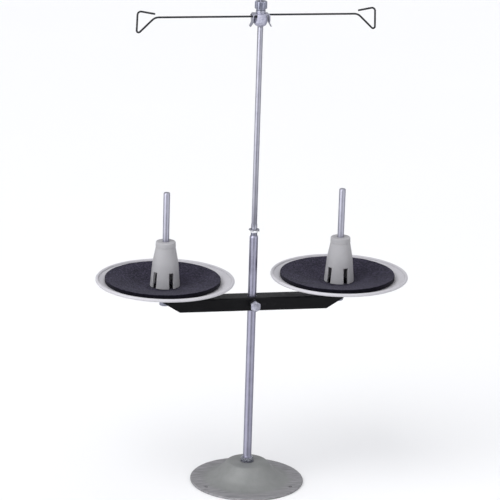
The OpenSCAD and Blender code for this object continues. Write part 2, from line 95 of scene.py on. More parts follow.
def apply_modifiers(made, edge_angle=35):
    """Bakes a piece's modifiers into its mesh."""
    bpy.context.view_layer.update()
    depsgraph = bpy.context.evaluated_depsgraph_get()
    data = bpy.data.meshes.new_from_object(made.evaluated_get(depsgraph))
    made.modifiers.clear()
    made.data = data
    shade(made, edge_angle)


def bevel(made, width, segments=2, angle=40):
    """Rounds a piece's edges that are sharper than the angle."""
    modifier = made.modifiers.new("bevel", "BEVEL")
    modifier.width = width
    modifier.segments = segments
    modifier.limit_method = "ANGLE"
    modifier.angle_limit = radians(angle)
    apply_modifiers(made)


def cut(made, *tools):
    """Cuts each tool's shape out of a piece."""
    for tool in tools:
        modifier = made.modifiers.new("cut", "BOOLEAN")
        modifier.operation = "DIFFERENCE"
        modifier.solver = "EXACT"
        modifier.object = tool
    apply_modifiers(made)
    for tool in tools:
        bpy.data.objects.remove(tool)


def cutter(mesh):
    """A bmesh as an object that only cuts."""
    bmesh.ops.recalc_face_normals(mesh, faces=mesh.faces)
    return solid("cutter", mesh)


def drill(start, end, radius, sides=40):
    """Cutter for a round hole from start to end."""
    start, end = Vector(start), Vector(end)
    along = end - start
    mesh = bmesh.new()
    turn = along.to_track_quat("Z", "Y").to_matrix().to_4x4()
    bmesh.ops.create_cone(
        mesh, cap_ends=True, segments=sides, radius1=radius, radius2=radius, depth=along.length,
        matrix=Matrix.Translation((start + end) / 2) @ turn)
    return cutter(mesh)


def slab(low, high, turn=Matrix.Identity(4)):
    """Cutter for a box between two corners, turned afterwards."""
    low, high = Vector(low), Vector(high)
    mesh = bmesh.new()
    size = Matrix.Diagonal((*(high - low), 1))
    bmesh.ops.create_cube(mesh, matrix=turn @ Matrix.Translation((low + high) / 2) @ size)
    return cutter(mesh)


def corner_arc(before, here, after, radius):
    """Centre of a corner's rounding, and its first and last point as seen from there."""
    back = (before - here).normalized()
    ahead = (after - here).normalized()
    half = back.angle(ahead) / 2
    centre = here + (back + ahead).normalized() * radius / sin(half)
    start = here + back * radius / tan(half) - centre
    end = here + ahead * radius / tan(half) - centre
    return centre, start, end


def rounded(*corners, steps=5):
    """Closed outline through (x, z) or (x, z, radius) corners, each rounded to its radius."""
    outline = []
    for i, corner in enumerate(corners):
        here = Vector(corner[:2])
        if len(corner) == 2:
            outline.append(here)
            continue
        radius = corner[2]
        before, after = Vector(corners[i - 1][:2]), Vector(corners[(i + 1) % len(corners)][:2])
        centre, start, end = corner_arc(before, here, after, radius)
        first = atan2(start.y, start.x)
        turn = atan2(start.x * end.y - start.y * end.x, start.dot(end))
        for s in range(steps + 1):
            angle = first + turn * s / steps
            outline.append(centre + radius * Vector((cos(angle), sin(angle))))
    return outline


def turned(outline_at, segments, middle=(0, 0)):
    """Bmesh turned about an upright axis. outline_at(angle) gives its closed outline as (r, z) points."""
    mesh = bmesh.new()
    on_axis = {}
    columns = []
    for i in range(segments):
        angle = i * tau / segments
        column = []
        for k, (r, z) in enumerate(outline_at(angle)):
            if r > 1e-6:
                column.append(mesh.verts.new((middle[0] + r * cos(angle), middle[1] + r * sin(angle), z)))
                continue
            if k not in on_axis:
                on_axis[k] = mesh.verts.new((*middle, z))
            column.append(on_axis[k])
        columns.append(column)
    for i, here in enumerate(columns):
        after = columns[(i + 1) % segments]
        for k in range(len(here)):
            j = (k + 1) % len(here)
            corners = list(dict.fromkeys((here[k], after[k], after[j], here[j])))
            if len(corners) > 2:
                mesh.faces.new(corners)
    return mesh


def lathe(outline, segments=96, middle=(0, 0)):
    """Bmesh of one closed outline turned about an upright axis."""
    return turned(lambda angle: outline, segments, middle)


def thread(low, high, crest, pitch, angle, runout=1.0):
    """Outer (r, z) points of a screw thread, from low to high, fading out over its last turns."""
    steps = max(2, round((high - low) / pitch * 8))
    points = []
    for s in range(steps + 1):
        z = low + (high - low) * s / steps
        fade = min(1, (z - low) / pitch, (high - z) / (runout * pitch))
        wave = abs(2 * ((z / pitch - angle / tau) % 1) - 1)
        points.append((crest - 0.55 * pitch * wave * max(fade, 0), z))
    return points


def hex_reach(angle, flat):
    """How far a hexagon reaches at one angle, with its flats this far from the middle."""
    return flat / cos((angle + pi / 6) % (pi / 3) - pi / 6)


def hex_outline(angle, flats, low, high, bore):
    """Outline of a hexagon nut, chamfered both ends, at one angle."""
    flat = flats / 2
    reach = hex_reach(angle, flat)
    chamfer = (reach - flat * 0.95) * CHAMFER_SLOPE
    return [(bore + 0.35 * MM, low), (flat * 0.95, low), (reach, low + chamfer),
            (reach, high - chamfer), (flat * 0.95, high), (bore + 0.35 * MM, high),
            (bore, high - 0.35 * MM), (bore, low + 0.35 * MM)]


def washer_outline(low, high, bore, radius):
    """Outline of a flat washer with softened edges."""
    edge = 0.18 * MM
    return rounded((bore, low, edge), (radius, low, edge), (radius, high, edge * 1.5), (bore, high, edge),
                   steps=3)


def bent(corners, radii, steps=10):
    """Open path in 3D, its inner corners rounded to the given bend radii."""
    corners = [Vector(c) for c in corners]
    path = [corners[0]]
    for before, here, after, radius in zip(corners, corners[1:-1], corners[2:], radii):
        centre, start, end = corner_arc(before, here, after, radius)
        for s in range(steps + 1):
            path.append(centre + start.normalized().slerp(end.normalized(), s / steps) * radius)
    path.append(corners[-1])
    return path


def swept(path, radius, sides=24, end_round=0.35):
    """Bmesh of a round wire along a path in an upright plane, with rounded-over ends."""
    first = (path[0] - path[1]).normalized()
    last = (path[-1] - path[-2]).normalized()
    over = radius * end_round

    def rounding(tip, away, turns):
        """Rings that round the wire over at its tip."""
        return [(tip - away * over * (1 - cos(radians(t))), radius - over * (1 - sin(radians(t))))
                for t in turns]

    rings = (rounding(path[0], first, (0, 30, 60, 90)) + [(p, radius) for p in path[1:-1]]
             + rounding(path[-1], last, (90, 60, 30, 0)))
    tangents = []
    for i in range(len(rings)):
        ahead = rings[min(i + 1, len(rings) - 1)][0] - rings[max(i - 1, 0)][0]
        tangents.append(ahead.normalized())
    side = Vector((0, 1, 0))
    circles = []
    for (centre, r), tangent in zip(rings, tangents):
        up = tangent.cross(side).normalized()
        circles.append([centre + r * (cos(k * tau / sides) * up + sin(k * tau / sides) * side)
                        for k in range(sides)])
    return lofted(*circles)


def lofted(*outlines):
    """Bmesh through outlines of 3D points with the same number of points, closed at both ends."""
    mesh = bmesh.new()
    rings = [[mesh.verts.new(p) for p in outline] for outline in outlines]
    for here, after in zip(rings, rings[1:]):
        for k in range(len(here)):
            j = (k + 1) % len(here)
            mesh.faces.new((here[k], here[j], after[j], after[k]))
    mesh.faces.new(list(reversed(rings[0])))
    mesh.faces.new(rings[-1])
    return mesh


def span(node):
    """Lowest z, highest z, outer radius and (x, y) middle of a round upright CAD node."""
    low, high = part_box(node)
    middle = (low + high) / 2
    return low.z, high.z, (high.x - low.x) / 2, (middle.x, middle.y)


# ---------------------------------------------------------------- materials

class Surface:
    """A procedural material: a Principled shader and the nodes that vary it."""

    def __init__(self, name, roughness, metallic=0.0):
        self.material = bpy.data.materials.new(name)
        self.material.use_nodes = True
        self.tree = self.material.node_tree
        self.shader = self.tree.nodes["Principled BSDF"]
        self.shader.inputs["Roughness"].default_value = roughness
        self.shader.inputs["Metallic"].default_value = metallic
        self.place = self.node("ShaderNodeTexCoord").outputs["Object"]
        self.normal = None

    def node(self, kind, **inputs):
        made = self.tree.nodes.new(kind)
        for name, value in inputs.items():
            self.feed(made.inputs[name.replace("_", " ")], value)
        return made

    def feed(self, socket, value):
        if isinstance(value, bpy.types.NodeSocket):
            self.tree.links.new(value, socket)
        else:
            socket.default_value = value

    def stretched(self, x, y, z):
        """Object coordinates, scaled along each axis."""
        made = self.node("ShaderNodeMapping", Vector=self.place)
        made.inputs["Scale"].default_value = (x, y, z)
        return made.outputs["Vector"]

    def noise(self, size, detail=3, place=None, roughness=0.5, distortion=0.0):
        """Noise from 0 to 1 whose features are about this size in metres."""
        made = self.node("ShaderNodeTexNoise", Vector=place or self.place, Scale=1 / size, Detail=detail,
                         Roughness=roughness, Distortion=distortion)
        return made.outputs["Fac"]

    def cells(self, size, feature="F1", place=None):
        """Distance to the nearest of cells of about this size in metres."""
        made = self.node("ShaderNodeTexVoronoi", Vector=place or self.place, Scale=1 / size)
        made.feature = feature
        return made.outputs["Distance"]

    def mapped(self, value, low, high, to_low, to_high):
        """value from low..high to to_low..to_high, held at both ends."""
        made = self.node("ShaderNodeMapRange", Value=value, From_Min=low, From_Max=high,
                         To_Min=to_low, To_Max=to_high)
        return made.outputs["Result"]

    def combined(self, kind, a, b):
        made = self.tree.nodes.new("ShaderNodeMath")
        made.operation = kind
        self.feed(made.inputs[0], a)
        self.feed(made.inputs[1], b)
        return made.outputs["Value"]

    def blended(self, amount, a, b):
        """Colour between a and b."""
        made = self.tree.nodes.new("ShaderNodeMix")
        made.data_type = "RGBA"
        self.feed(made.inputs[0], amount)
        for socket, value in ((made.inputs[6], a), (made.inputs[7], b)):
            self.feed(socket, value if isinstance(value, bpy.types.NodeSocket) else (*value, 1))
        return made.outputs[2]

    def colour(self, socket):
        self.feed(self.shader.inputs["Base Color"], socket)

    def rough(self, socket):
        self.feed(self.shader.inputs["Roughness"], socket)

    def bump(self, height, depth, strength=1.0):
        """Adds relief of this depth in metres on top of what is there."""
        made = self.node("ShaderNodeBump", Height=height, Distance=depth, Strength=strength)
        if self.normal:
            self.tree.links.new(self.normal, made.inputs["Normal"])
        self.normal = made.outputs["Normal"]
        self.tree.links.new(self.normal, self.shader.inputs["Normal"])

    def edges(self, low=0.505, high=0.56):
        """0 on flats, 1 on outer edges."""
        return self.mapped(self.node("ShaderNodeNewGeometry").outputs["Pointiness"], low, high, 0, 1)

    def set(self, **values):
        for name, value in values.items():
            self.shader.inputs[name.replace("_", " ")].default_value = value


def zinc_steel(name, light, dark, roughness, dark_reflection_above=None):
    """Bright zinc plate with upright drawing lines, with a painted dark reflection above a given height."""
    made = Surface(name, roughness, metallic=1.0)
    lines = made.noise(0.25 * MM, 4, made.stretched(1, 1, 0.02))
    clouds = made.noise(9 * MM, 4, roughness=0.6)
    coat = made.blended(made.mapped(clouds, 0.35, 0.68, 0, 1), dark, light)
    # Painted reflection: above the given height the colour turns dark, standing in for dark surroundings
    # mirrored in the mouth's cone.
    if dark_reflection_above:
        height = made.node("ShaderNodeSeparateXYZ", Vector=made.place).outputs["Z"]
        rising = made.mapped(height, dark_reflection_above - 0.4 * MM, dark_reflection_above + 0.8 * MM, 0, 1)
        coat = made.blended(made.combined("MULTIPLY", rising, made.mapped(clouds, 0.2, 0.6, 0.75, 1)), coat,
                            (0.19, 0.19, 0.24))
    made.colour(coat)
    made.rough(made.combined("ADD", made.mapped(lines, 0.3, 0.7, -0.06, 0.08),
                             made.mapped(clouds, 0.3, 0.7, roughness - 0.05, roughness + 0.07)))
    made.bump(lines, 0.012 * MM)
    made.bump(made.noise(1.6 * MM, 2), 0.02 * MM)
    return made.material


def cast_steel(name, light, dark, roughness=0.37, metallic=1.0):
    """Rougher plated surface of the small turned and forged pieces."""
    made = Surface(name, roughness, metallic)
    clouds = made.noise(1.8 * MM, 4, roughness=0.62)
    made.colour(made.blended(made.mapped(clouds, 0.36, 0.66, 0, 1), dark, light))
    made.rough(made.mapped(clouds, 0.3, 0.7, roughness - 0.09, roughness + 0.09))
    made.bump(made.noise(0.8 * MM, 3), 0.05 * MM)
    made.bump(made.noise(0.15 * MM, 2), 0.008 * MM)
    return made.material


def hammered_paint(name, light, dark, flange):
    """Grey-green satin enamel with a fine hammered skin, greyer and streaked on the flange."""
    made = Surface(name, 0.5)
    blotches = made.noise(17 * MM, 5, roughness=0.6, distortion=0.4)
    flecks = made.noise(1.1 * MM, 3, roughness=0.65)
    shade_of = made.combined("ADD", made.mapped(blotches, 0.3, 0.7, 0, 0.7),
                             made.mapped(flecks, 0.3, 0.7, 0, 0.3))
    smears = made.noise(2.4 * MM, 4, made.stretched(0.12, 1, 1), roughness=0.6)
    streaks = made.mapped(smears, 0.40, 0.60, 0, 1)
    flange_tone = made.blended(streaks, [c * 0.68 for c in flange], [c * 1.03 for c in flange])
    from_axis = made.node("ShaderNodeVectorMath")
    from_axis.operation = "LENGTH"
    made.feed(from_axis.inputs[0], made.stretched(1, 1, 0))
    dome_end, flange_start = 44 * MM, 52 * MM
    on_flange = made.mapped(from_axis.outputs["Value"], dome_end, flange_start, 0, 1)
    made.colour(made.blended(on_flange, made.blended(shade_of, dark, light), flange_tone))
    made.rough(made.mapped(flecks, 0.3, 0.7, 0.54, 0.67))
    made.bump(made.cells(2.2 * MM, "SMOOTH_F1"), 0.06 * MM)
    made.bump(made.noise(0.5 * MM, 3), 0.012 * MM)
    made.set(Metallic=0.2, Coat_Weight=0.18, Coat_Roughness=0.22)
    return made.material


def black_enamel(name, light, dark, worn_and_highlight):
    """Satin black paint, paler on the outer edges: partly worn thin, partly a painted highlight."""
    made = Surface(name, 0.4)
    clouds = made.noise(12 * MM, 4, roughness=0.6)
    coat = made.blended(made.mapped(clouds, 0.35, 0.65, 0, 1), dark, light)
    flakes = made.mapped(made.noise(2.5 * MM, 4), 0.52, 0.62, 0, 1)
    # Paler patches on outer edges: partly paint wear, partly a painted highlight where edges catch light.
    chips_and_highlight = made.combined("MULTIPLY", made.edges(0.56, 0.64), flakes)
    made.colour(made.blended(chips_and_highlight, coat, worn_and_highlight))
    made.rough(made.mapped(made.noise(3 * MM, 4), 0.3, 0.7, 0.38, 0.46))
    made.bump(made.noise(0.7 * MM, 3), 0.008 * MM)
    made.set(Specular_IOR_Level=0.14)
    return made.material


def moulded_plastic(name, light, dark, roughness, grain, gloss=0.0):
    """Injection-moulded plastic with a faint grain and flow marks."""
    made = Surface(name, roughness)
    flow = made.noise(26 * MM, 3, distortion=0.5)
    specks = made.noise(0.9 * MM, 3, roughness=0.6)
    shade_of = made.combined("ADD", made.mapped(flow, 0.3, 0.7, 0, 0.75),
                             made.mapped(specks, 0.4, 0.7, 0, 0.25))
    made.colour(made.blended(shade_of, dark, light))
    made.rough(made.mapped(flow, 0.3, 0.7, roughness - 0.05, roughness + 0.06))
    made.bump(made.noise(grain, 3), 0.015 * MM)
    made.set(Subsurface_Weight=0.06, Subsurface_Radius=(0.003, 0.003, 0.003), Subsurface_Scale=1.0,
             Coat_Weight=gloss, Coat_Roughness=0.3, Specular_IOR_Level=0.3)
    return made.material


def open_foam(name, light, dark):
    """Charcoal open-cell foam: pores, a fuzzy nap, pale tufts on top and painted shade on the sides."""
    made = Surface(name, 0.92)
    pores = made.cells(0.55 * MM)
    coarse = made.cells(1.3 * MM, "SMOOTH_F1")
    nap = made.noise(0.3 * MM, 4, roughness=0.7)
    clouds = made.noise(14 * MM, 4)
    tufts = made.noise(2.1 * MM, 4, roughness=0.7)
    shade_of = made.combined("ADD", made.mapped(pores, 0.15, 0.75, 0.45, 0),
                             made.mapped(clouds, 0.35, 0.65, 0, 0.2))
    shade_of = made.combined("ADD", shade_of, made.mapped(tufts, 0.48, 0.60, 0, 0.7))
    # Painted shade: the colour darkens where the surface faces sideways instead of up.
    upward = made.node("ShaderNodeSeparateXYZ", Vector=made.node("ShaderNodeNewGeometry").outputs["Normal"])
    painted_side_shade = made.mapped(upward.outputs["Z"], 0.5, 0.9, 0.15, 1)
    made.colour(made.blended(made.combined("MULTIPLY", shade_of, painted_side_shade), dark, light))
    made.bump(coarse, 0.35 * MM)
    made.bump(pores, 0.22 * MM)
    made.bump(nap, 0.06 * MM)
    made.set(Sheen_Weight=0.10, Sheen_Roughness=0.45, Sheen_Tint=(0.85, 0.85, 1.0, 1.0),
             Specular_IOR_Level=0.05)
    return made.material


# Each material's light and dark colour come first
# The tube's mouth carries a painted dark reflection above 282.5 mm.
TUBE_STEEL = zinc_steel("tube_steel", (0.41, 0.405, 0.50), (0.34, 0.335, 0.43), roughness=0.37,
                        dark_reflection_above=282.5 * MM)
ROD_STEEL = zinc_steel("rod_steel", (0.42, 0.42, 0.48), (0.35, 0.35, 0.41), roughness=0.36)
PIN_STEEL = zinc_steel("pin_steel", (0.44, 0.44, 0.51), (0.36, 0.36, 0.43), roughness=0.38)
FITTING_STEEL = cast_steel("fitting_steel", (0.58, 0.58, 0.66), (0.40, 0.40, 0.48))
NUT_STEEL = cast_steel("nut_steel", (0.40, 0.41, 0.49), (0.26, 0.27, 0.34))
FOOT_STEEL = cast_steel("foot_steel", (0.60, 0.61, 0.68), (0.34, 0.35, 0.42), roughness=0.26)
BLOCK_STEEL = cast_steel("block_steel", (0.60, 0.60, 0.70), (0.34, 0.34, 0.44), roughness=0.55, metallic=0.55)
DARK_STEEL = cast_steel("dark_steel", (0.24, 0.24, 0.28), (0.12, 0.12, 0.15))
CLIP_STEEL = cast_steel("clip_steel", (0.40, 0.40, 0.44), (0.26, 0.26, 0.30), roughness=0.45, metallic=0.8)
BASE_PAINT = hammered_paint("base_paint", (0.252, 0.256, 0.253), (0.19, 0.197, 0.194),
                            flange=(0.285, 0.28, 0.293))
BAR_PAINT = black_enamel("bar_paint", (0.0055, 0.0055, 0.0065), (0.004, 0.004, 0.005),
                         worn_and_highlight=(0.04, 0.04, 0.045))
WIRE_PAINT = black_enamel("wire_paint", (0.03, 0.03, 0.034), (0.016, 0.016, 0.019), worn_and_highlight=(0.12, 0.12, 0.13))
DISH_PLASTIC = moulded_plastic("dish_plastic", (0.55, 0.54, 0.57), (0.48, 0.47, 0.50), roughness=0.4,
                               grain=0.6 * MM, gloss=0.08)
ADAPTER_PLASTIC = moulded_plastic("adapter_plastic", (0.40, 0.395, 0.41), (0.34, 0.335, 0.35),
                                  roughness=0.48, grain=0.5 * MM)
NYLON = moulded_plastic("nylon", (0.85, 0.85, 0.88), (0.76, 0.76, 0.80), roughness=0.4, grain=0.5 * MM)
PAD_FOAM = open_foam("pad_foam", (0.048, 0.042, 0.070), (0.001, 0.001, 0.003))


# ---------------------------------------------------------------- base and mast

def base_shell():
    """Pressed bell-shaped base with three screw holes in its flange."""
    low, high, radius, middle = span("base_plate")
    sheet = 2.5 * MM
    tube_hole = 4.9 * MM
    shoulder = 19.3 * MM
    slope = radians(48)
    round_over, flare = 5 * MM, 24 * MM
    rise = high - low - sheet
    run = (rise - (round_over + flare) * (1 - cos(slope))) / sin(slope)
    flange = shoulder + (round_over + flare) * sin(slope) + run * cos(slope)

    def bell(inset, steps=16):
        """Profile from the flat top out to the flange, inset below the skin."""
        outline = []
        for s in range(steps + 1):
            a = pi / 2 - slope * s / steps
            outline.append((shoulder + (round_over - inset) * cos(a),
                            high - round_over + (round_over - inset) * sin(a)))
        for s in range(steps + 1):
            a = 1.5 * pi - slope * (1 - s / steps)
            outline.append((flange + (flare + inset) * cos(a), sheet + flare + (flare + inset) * sin(a)))
        return outline

    def drawn(outline):
        """The outline with the faint rings that pressing leaves down the dome's side."""
        count, depth = 3.5, 0.10 * MM
        rings = []
        for r, z in outline:
            share = min(max((r - shoulder) / (flange - shoulder), 0), 1)
            rings.append((r, z + depth * sin(share * count * tau) * sin(share * pi)))
        return rings

    def denser(outline, step):
        """The same outline with points no more than a step apart."""
        points = [outline[0]]
        for (r0, z0), (r1, z1) in zip(outline, outline[1:]):
            parts = max(1, round(hypot(r1 - r0, z1 - z0) / step))
            points += [(r0 + (r1 - r0) * s / parts, z0 + (z1 - z0) * s / parts) for s in range(1, parts + 1)]
        return points

    top = drawn(denser(bell(0), step=1.2 * MM))
    rim = rounded((radius - 2 * MM, low), (radius, low, 0.9 * MM), (radius, low + sheet, 1.1 * MM),
                  (radius - 2 * MM, low + sheet), steps=6)
    outline = ([(tube_hole, high - sheet)] + bell(sheet) + rim + list(reversed(top))
               + [(tube_hole + 0.3 * MM, high), (tube_hole, high - 0.3 * MM)])
    made = piece("base_shell", lathe(outline, 192), "base", BASE_PAINT, ["base_plate"])
    hole_count, first_hole, hole_circle, hole_r = 3, 84, 53.5 * MM, 2.3 * MM
    holes = []
    for i in range(hole_count):
        a = radians(first_hole + 360 / hole_count * i)
        x, y = hole_circle * cos(a), hole_circle * sin(a)
        holes.append(drill((x, y, low - MM), (x, y, low + sheet + MM), hole_r))
    cut(made, *holes)


def hex_nut(name, node, body, flats, bore, material=FITTING_STEEL):
    """A chamfered hexagon nut in place of its CAD node, standing upright."""
    low, high, _, middle = span(node)
    mesh = turned(lambda a: hex_outline(a + pi / 6, flats, low, high, bore), 96, middle)
    piece(name, mesh, body, material, [node], 25)


def flat_washer(name, node, body, bore, material):
    """A flat round washer in place of its CAD node."""
    low, high, radius, middle = span(node)
    mesh = lathe(washer_outline(low, high, bore, radius), 72, middle)
    piece(name, mesh, body, material, [node], 50)


def mast_tube():
    """Lower tube: threaded foot, and a mouth swaged down to the rod."""
    low, high, radius, _ = span("lower_tube")
    bore, rod_bore = radius - MM, ROD_HOLE
    mouth, lip = 5.6 * MM, 0.45 * MM
    nut_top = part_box("foot_nut")[1].z
    thread_top = nut_top + 2.2 * MM

    def outline(angle):
        outer = thread(low, thread_top, radius, MM, angle, 1.5)
        for s in range(11):
            share = s / 10
            bend = share * share * (3 - 2 * share)
            outer.append((radius - (radius - rod_bore - lip) * bend, high - mouth + mouth / 2 * share))
        return outer + [(rod_bore + lip, high - 0.15 * MM), (rod_bore + lip - 0.15 * MM, high),
                        (rod_bore + 0.12 * MM, high), (rod_bore, high - 0.12 * MM),
                        (rod_bore, high - mouth / 2 - 0.5 * MM), (bore, high - mouth - 1.5 * MM), (bore, low)]

    piece("mast_tube", turned(outline, 64), "base", TUBE_STEEL, ["lower_tube"], 50)


def mast_rod():
    """Upper rod with a spigot foot, a clip groove, two pinched ears and a threaded stud."""
    low, high, _, _ = span("upper_rod")
    radius, spigot, stud, groove = 3 * MM, 2 * MM, 2.5 * MM, 2.5 * MM
    clip_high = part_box("stop_clip")[1].z
    clip_low = clip_high - CLIP_THICK
    ear_low, ear_high = clip_low + 2.3 * MM, clip_low + 7.3 * MM
    spigot_top = low + 13 * MM
    shoulder = high - 27.8 * MM
    lobe_from, lobe_height = 0.72, 0.40 * MM
    hollow_from, hollow_depth = 0.6, 0.32 * MM

    def ear(share, angle):
        """How far the pinched metal stands out, at a share of the ear's height."""
        swell = sin(pi * share) ** 0.5
        lobe = max(0, abs(cos(angle)) - lobe_from) / (1 - lobe_from)
        hollow = max(0, abs(sin(angle)) - hollow_from) / (1 - hollow_from)
        return swell * (lobe_height * lobe ** 0.7 - hollow_depth * hollow)

    def outline(angle):
        points = [(0, low), (spigot - 0.3 * MM, low), (spigot, low + 0.3 * MM), (spigot, spigot_top),
                  (radius, spigot_top), (radius, clip_low - 0.1 * MM), (groove, clip_low - 0.1 * MM),
                  (groove, clip_high + 0.1 * MM), (radius, clip_high + 0.1 * MM)]
        for s in range(13):
            share = s / 12
            points.append((radius + ear(share, angle), ear_low + (ear_high - ear_low) * share))
        points += [(radius, shoulder - 0.4 * MM), (radius - 0.4 * MM, shoulder), (stud, shoulder)]
        points += thread(shoulder + 0.6 * MM, high - 0.9 * MM, stud, 0.8 * MM, angle, 0.8)
        return points + [(stud - 0.8 * MM, high), (0, high)]

    piece("mast_rod_shaft", turned(outline, 64), "mast_rod", ROD_STEEL,
          ["upper_rod"], 50)


def clip_ring():
    """Spring clip in the rod's groove: an open flat ring, with a curled tab on its right."""
    low, top, _, _ = span("stop_clip")
    thick, edge = CLIP_THICK, 0.25 * MM
    inner, outer = 2.52 * MM, 5.8 * MM
    middle_r = (outer + inner) / 2
    opening = 0.36
    steps, end_steps = 60, 4
    sections = []
    for s in range(steps + 1):
        angle = -pi / 2 + opening + (tau - 2 * opening) * s / steps
        rounded_end = min(s, steps - s, end_steps) / end_steps
        half = (outer - inner) * (0.72 + 0.28 * rounded_end) / 2
        section = rounded((middle_r - half, top - thick, edge), (middle_r + half, top - thick, edge),
                          (middle_r + half, top, edge), (middle_r - half, top, edge), steps=3)
        sections.append([(r * cos(angle), r * sin(angle), z) for r, z in section])
    piece("clip_ring", lofted(*sections), "mast_rod", CLIP_STEEL, ["stop_clip"], 50)
    # Tab bent down over the ring's right side, narrowing to its tip
    tab_x, tab_thick, tab_half, narrowing = outer - 0.55 * MM, 0.84 * MM, 1.6 * MM, 0.5 * MM
    path = bent([(outer - 1.6 * MM, 0, top - thick / 2), (tab_x, 0, top - thick / 2),
                 (tab_x, 0, low + 0.1 * MM)], [0.5 * MM], 6)
    sections = []
    for i, point in enumerate(path):
        ahead = (path[min(i + 1, len(path) - 1)] - path[max(i - 1, 0)]).normalized()
        out = Vector((-ahead.z, 0, ahead.x)) * tab_thick / 2
        across = Vector((0, tab_half - narrowing * i / (len(path) - 1), 0))
        sections.append([point + out * a + across * b for a, b in ((-1, -1), (1, -1), (1, 1), (-1, 1))])
    bevel(piece("clip_tab", lofted(*sections), "mast_rod", CLIP_STEEL), 0.15 * MM)


# ---------------------------------------------------------------- crossbar and clamp

def bar_channel():
    """Downward-opening channel with slanted ends, and its pin, mast and bolt holes."""
    low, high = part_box("crossbar")
    half = high.y
    sheet, bend_r = 1.8 * MM, 2.6 * MM
    inner = half - sheet
    height = high.z - low.z
    half_bottom = 80.7 * MM
    edge = 0.25 * MM
    outline = rounded((half, low.z, edge), (half, high.z, bend_r), (-half, high.z, bend_r),
                      (-half, low.z, edge), (-inner, low.z, edge), (-inner, high.z - sheet, bend_r - sheet),
                      (inner, high.z - sheet, bend_r - sheet), (inner, low.z, edge), steps=7)

    def end(side):
        """The outline where it meets the slanted end on one side."""
        return [(side * (half_bottom + (high.x - half_bottom) * (z - low.z) / height), y, z)
                for y, z in outline]

    made = piece("bar_channel", lofted(end(-1), end(1)), "spool_bar", BAR_PAINT, ["crossbar"])
    bevel(made, 0.2 * MM, 2, 50)
    mast_hole, bolt_hole, pin_hole = 5.56 * MM, 3.3 * MM, 3.2 * MM
    below, above = high.z - 4 * MM, high.z + MM
    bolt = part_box("clamp_bolt")
    bolt_z = (bolt[0].z + bolt[1].z) / 2
    tools = [drill((0, 0, below), (0, 0, above), mast_hole, 56),
             drill((0, -half - MM, bolt_z), (0, -half + sheet + MM, bolt_z), bolt_hole)]
    for name in SIDES:
        x, y = span(f"spool_pin_{name}")[3]
        tools.append(drill((x, y, below), (x, y, above), pin_hole))
    cut(made, *tools)


def lying(mesh, place):
    """Turns an upright bmesh so that its +Z points to -Y, then moves its origin to a place."""
    turn = Matrix.Rotation(pi / 2, 4, "X")
    bmesh.ops.transform(mesh, matrix=Matrix.Translation(place) @ turn, verts=mesh.verts)
    return mesh


def weld_nut():
    """Black nut welded to the channel's front."""
    low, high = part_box("clamp_nut")
    place = ((low.x + high.x) / 2, high.y, (low.z + high.z) / 2)
    depth = high.y - low.y
    flats, bore = 10 * MM, 3.06 * MM
    nut = turned(lambda a: hex_outline(a, flats, 0, depth, bore), 96)
    piece("weld_nut", lying(nut, place), "spool_bar", BAR_PAINT, ["clamp_nut"], 25)


def clamp_bolt():
    """Hexagon bolt with a dished head and a threaded shank."""
    low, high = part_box("clamp_bolt")
    place = ((low.x + high.x) / 2, high.y, (low.z + high.z) / 2)
    head, flat, shank = 4.5 * MM, 5 * MM, 3 * MM
    length = high.y - low.y
    under_head, dish_r, dish_depth = length - head, 3.5 * MM, 0.5 * MM

    def outline(angle):
        reach = hex_reach(angle, flat)
        chamfer = (reach - flat * 0.93) * CHAMFER_SLOPE
        points = [(0, 0), (shank - 0.4 * MM, 0)]
        points += thread(0.4 * MM, under_head - 0.3 * MM, shank, MM, angle)
        points += [(shank, under_head), (reach - 0.2 * MM, under_head), (reach, under_head + 0.2 * MM),
                   (reach, length - chamfer), (flat * 0.93, length), (dish_r, length - 0.02 * MM)]
        for s in range(1, 7):
            share = s / 6
            points.append((dish_r * (1 - share), length - dish_depth * sin(share * pi / 2) ** 0.6))
        return points

    piece("clamp_bolt_hex", lying(turned(outline, 96), place), "bolt", FITTING_STEEL,
          ["clamp_bolt"], 25)


# ---------------------------------------------------------------- spool stations

def dish(side_name):
    """Dished plate with a rolled rim bead, a boss under it and a faint ring inside the rim."""
    node = f"spool_plate_{side_name}"
    low, high, radius, middle = span(node)
    wall, roll = 1.6 * MM, 1.8 * MM
    floor = low + 5.9 * MM + wall
    floor_r, boss = 21 * MM, 12 * MM
    rim_r, rim_z = radius - roll, high - roll
    bead = [(rim_r + roll * cos(radians(a)), rim_z + roll * sin(radians(a))) for a in range(-110, 181, 10)]
    ring_r, ring_half, step = 65 * MM, 0.9 * MM, 0.35 * MM
    hole, arm, fillet = 3.2 * MM, 6 * MM, 9 * MM
    rise = (rim_z - floor) / (rim_r - roll - floor_r)
    ring_z = floor + (ring_r - floor_r) * rise
    floor_round = rounded((floor_r - arm, floor), (floor_r, floor, fillet),
                          (floor_r + arm, floor + arm * rise), (floor_r, floor + fillet), steps=6)[1:8]
    outline = ([(hole, low), (boss - 0.4 * MM, low), (boss, low + 0.4 * MM), (boss, floor - wall - MM),
                (boss + MM, floor - wall), (floor_r + 0.3 * MM, floor - wall)] + bead
               + [(ring_r + ring_half, ring_z + ring_half * rise + step * 0.2), (ring_r, ring_z + step * 0.6),
                  (ring_r - ring_half, ring_z - ring_half * rise)]
               + list(reversed(floor_round)) + [(hole + 0.3 * MM, floor), (hole, floor - 0.3 * MM)])
    mesh = lathe(outline, 192, middle)
    piece(f"dish_{side_name}", mesh, "spool_bar", DISH_PLASTIC, [node], 40)


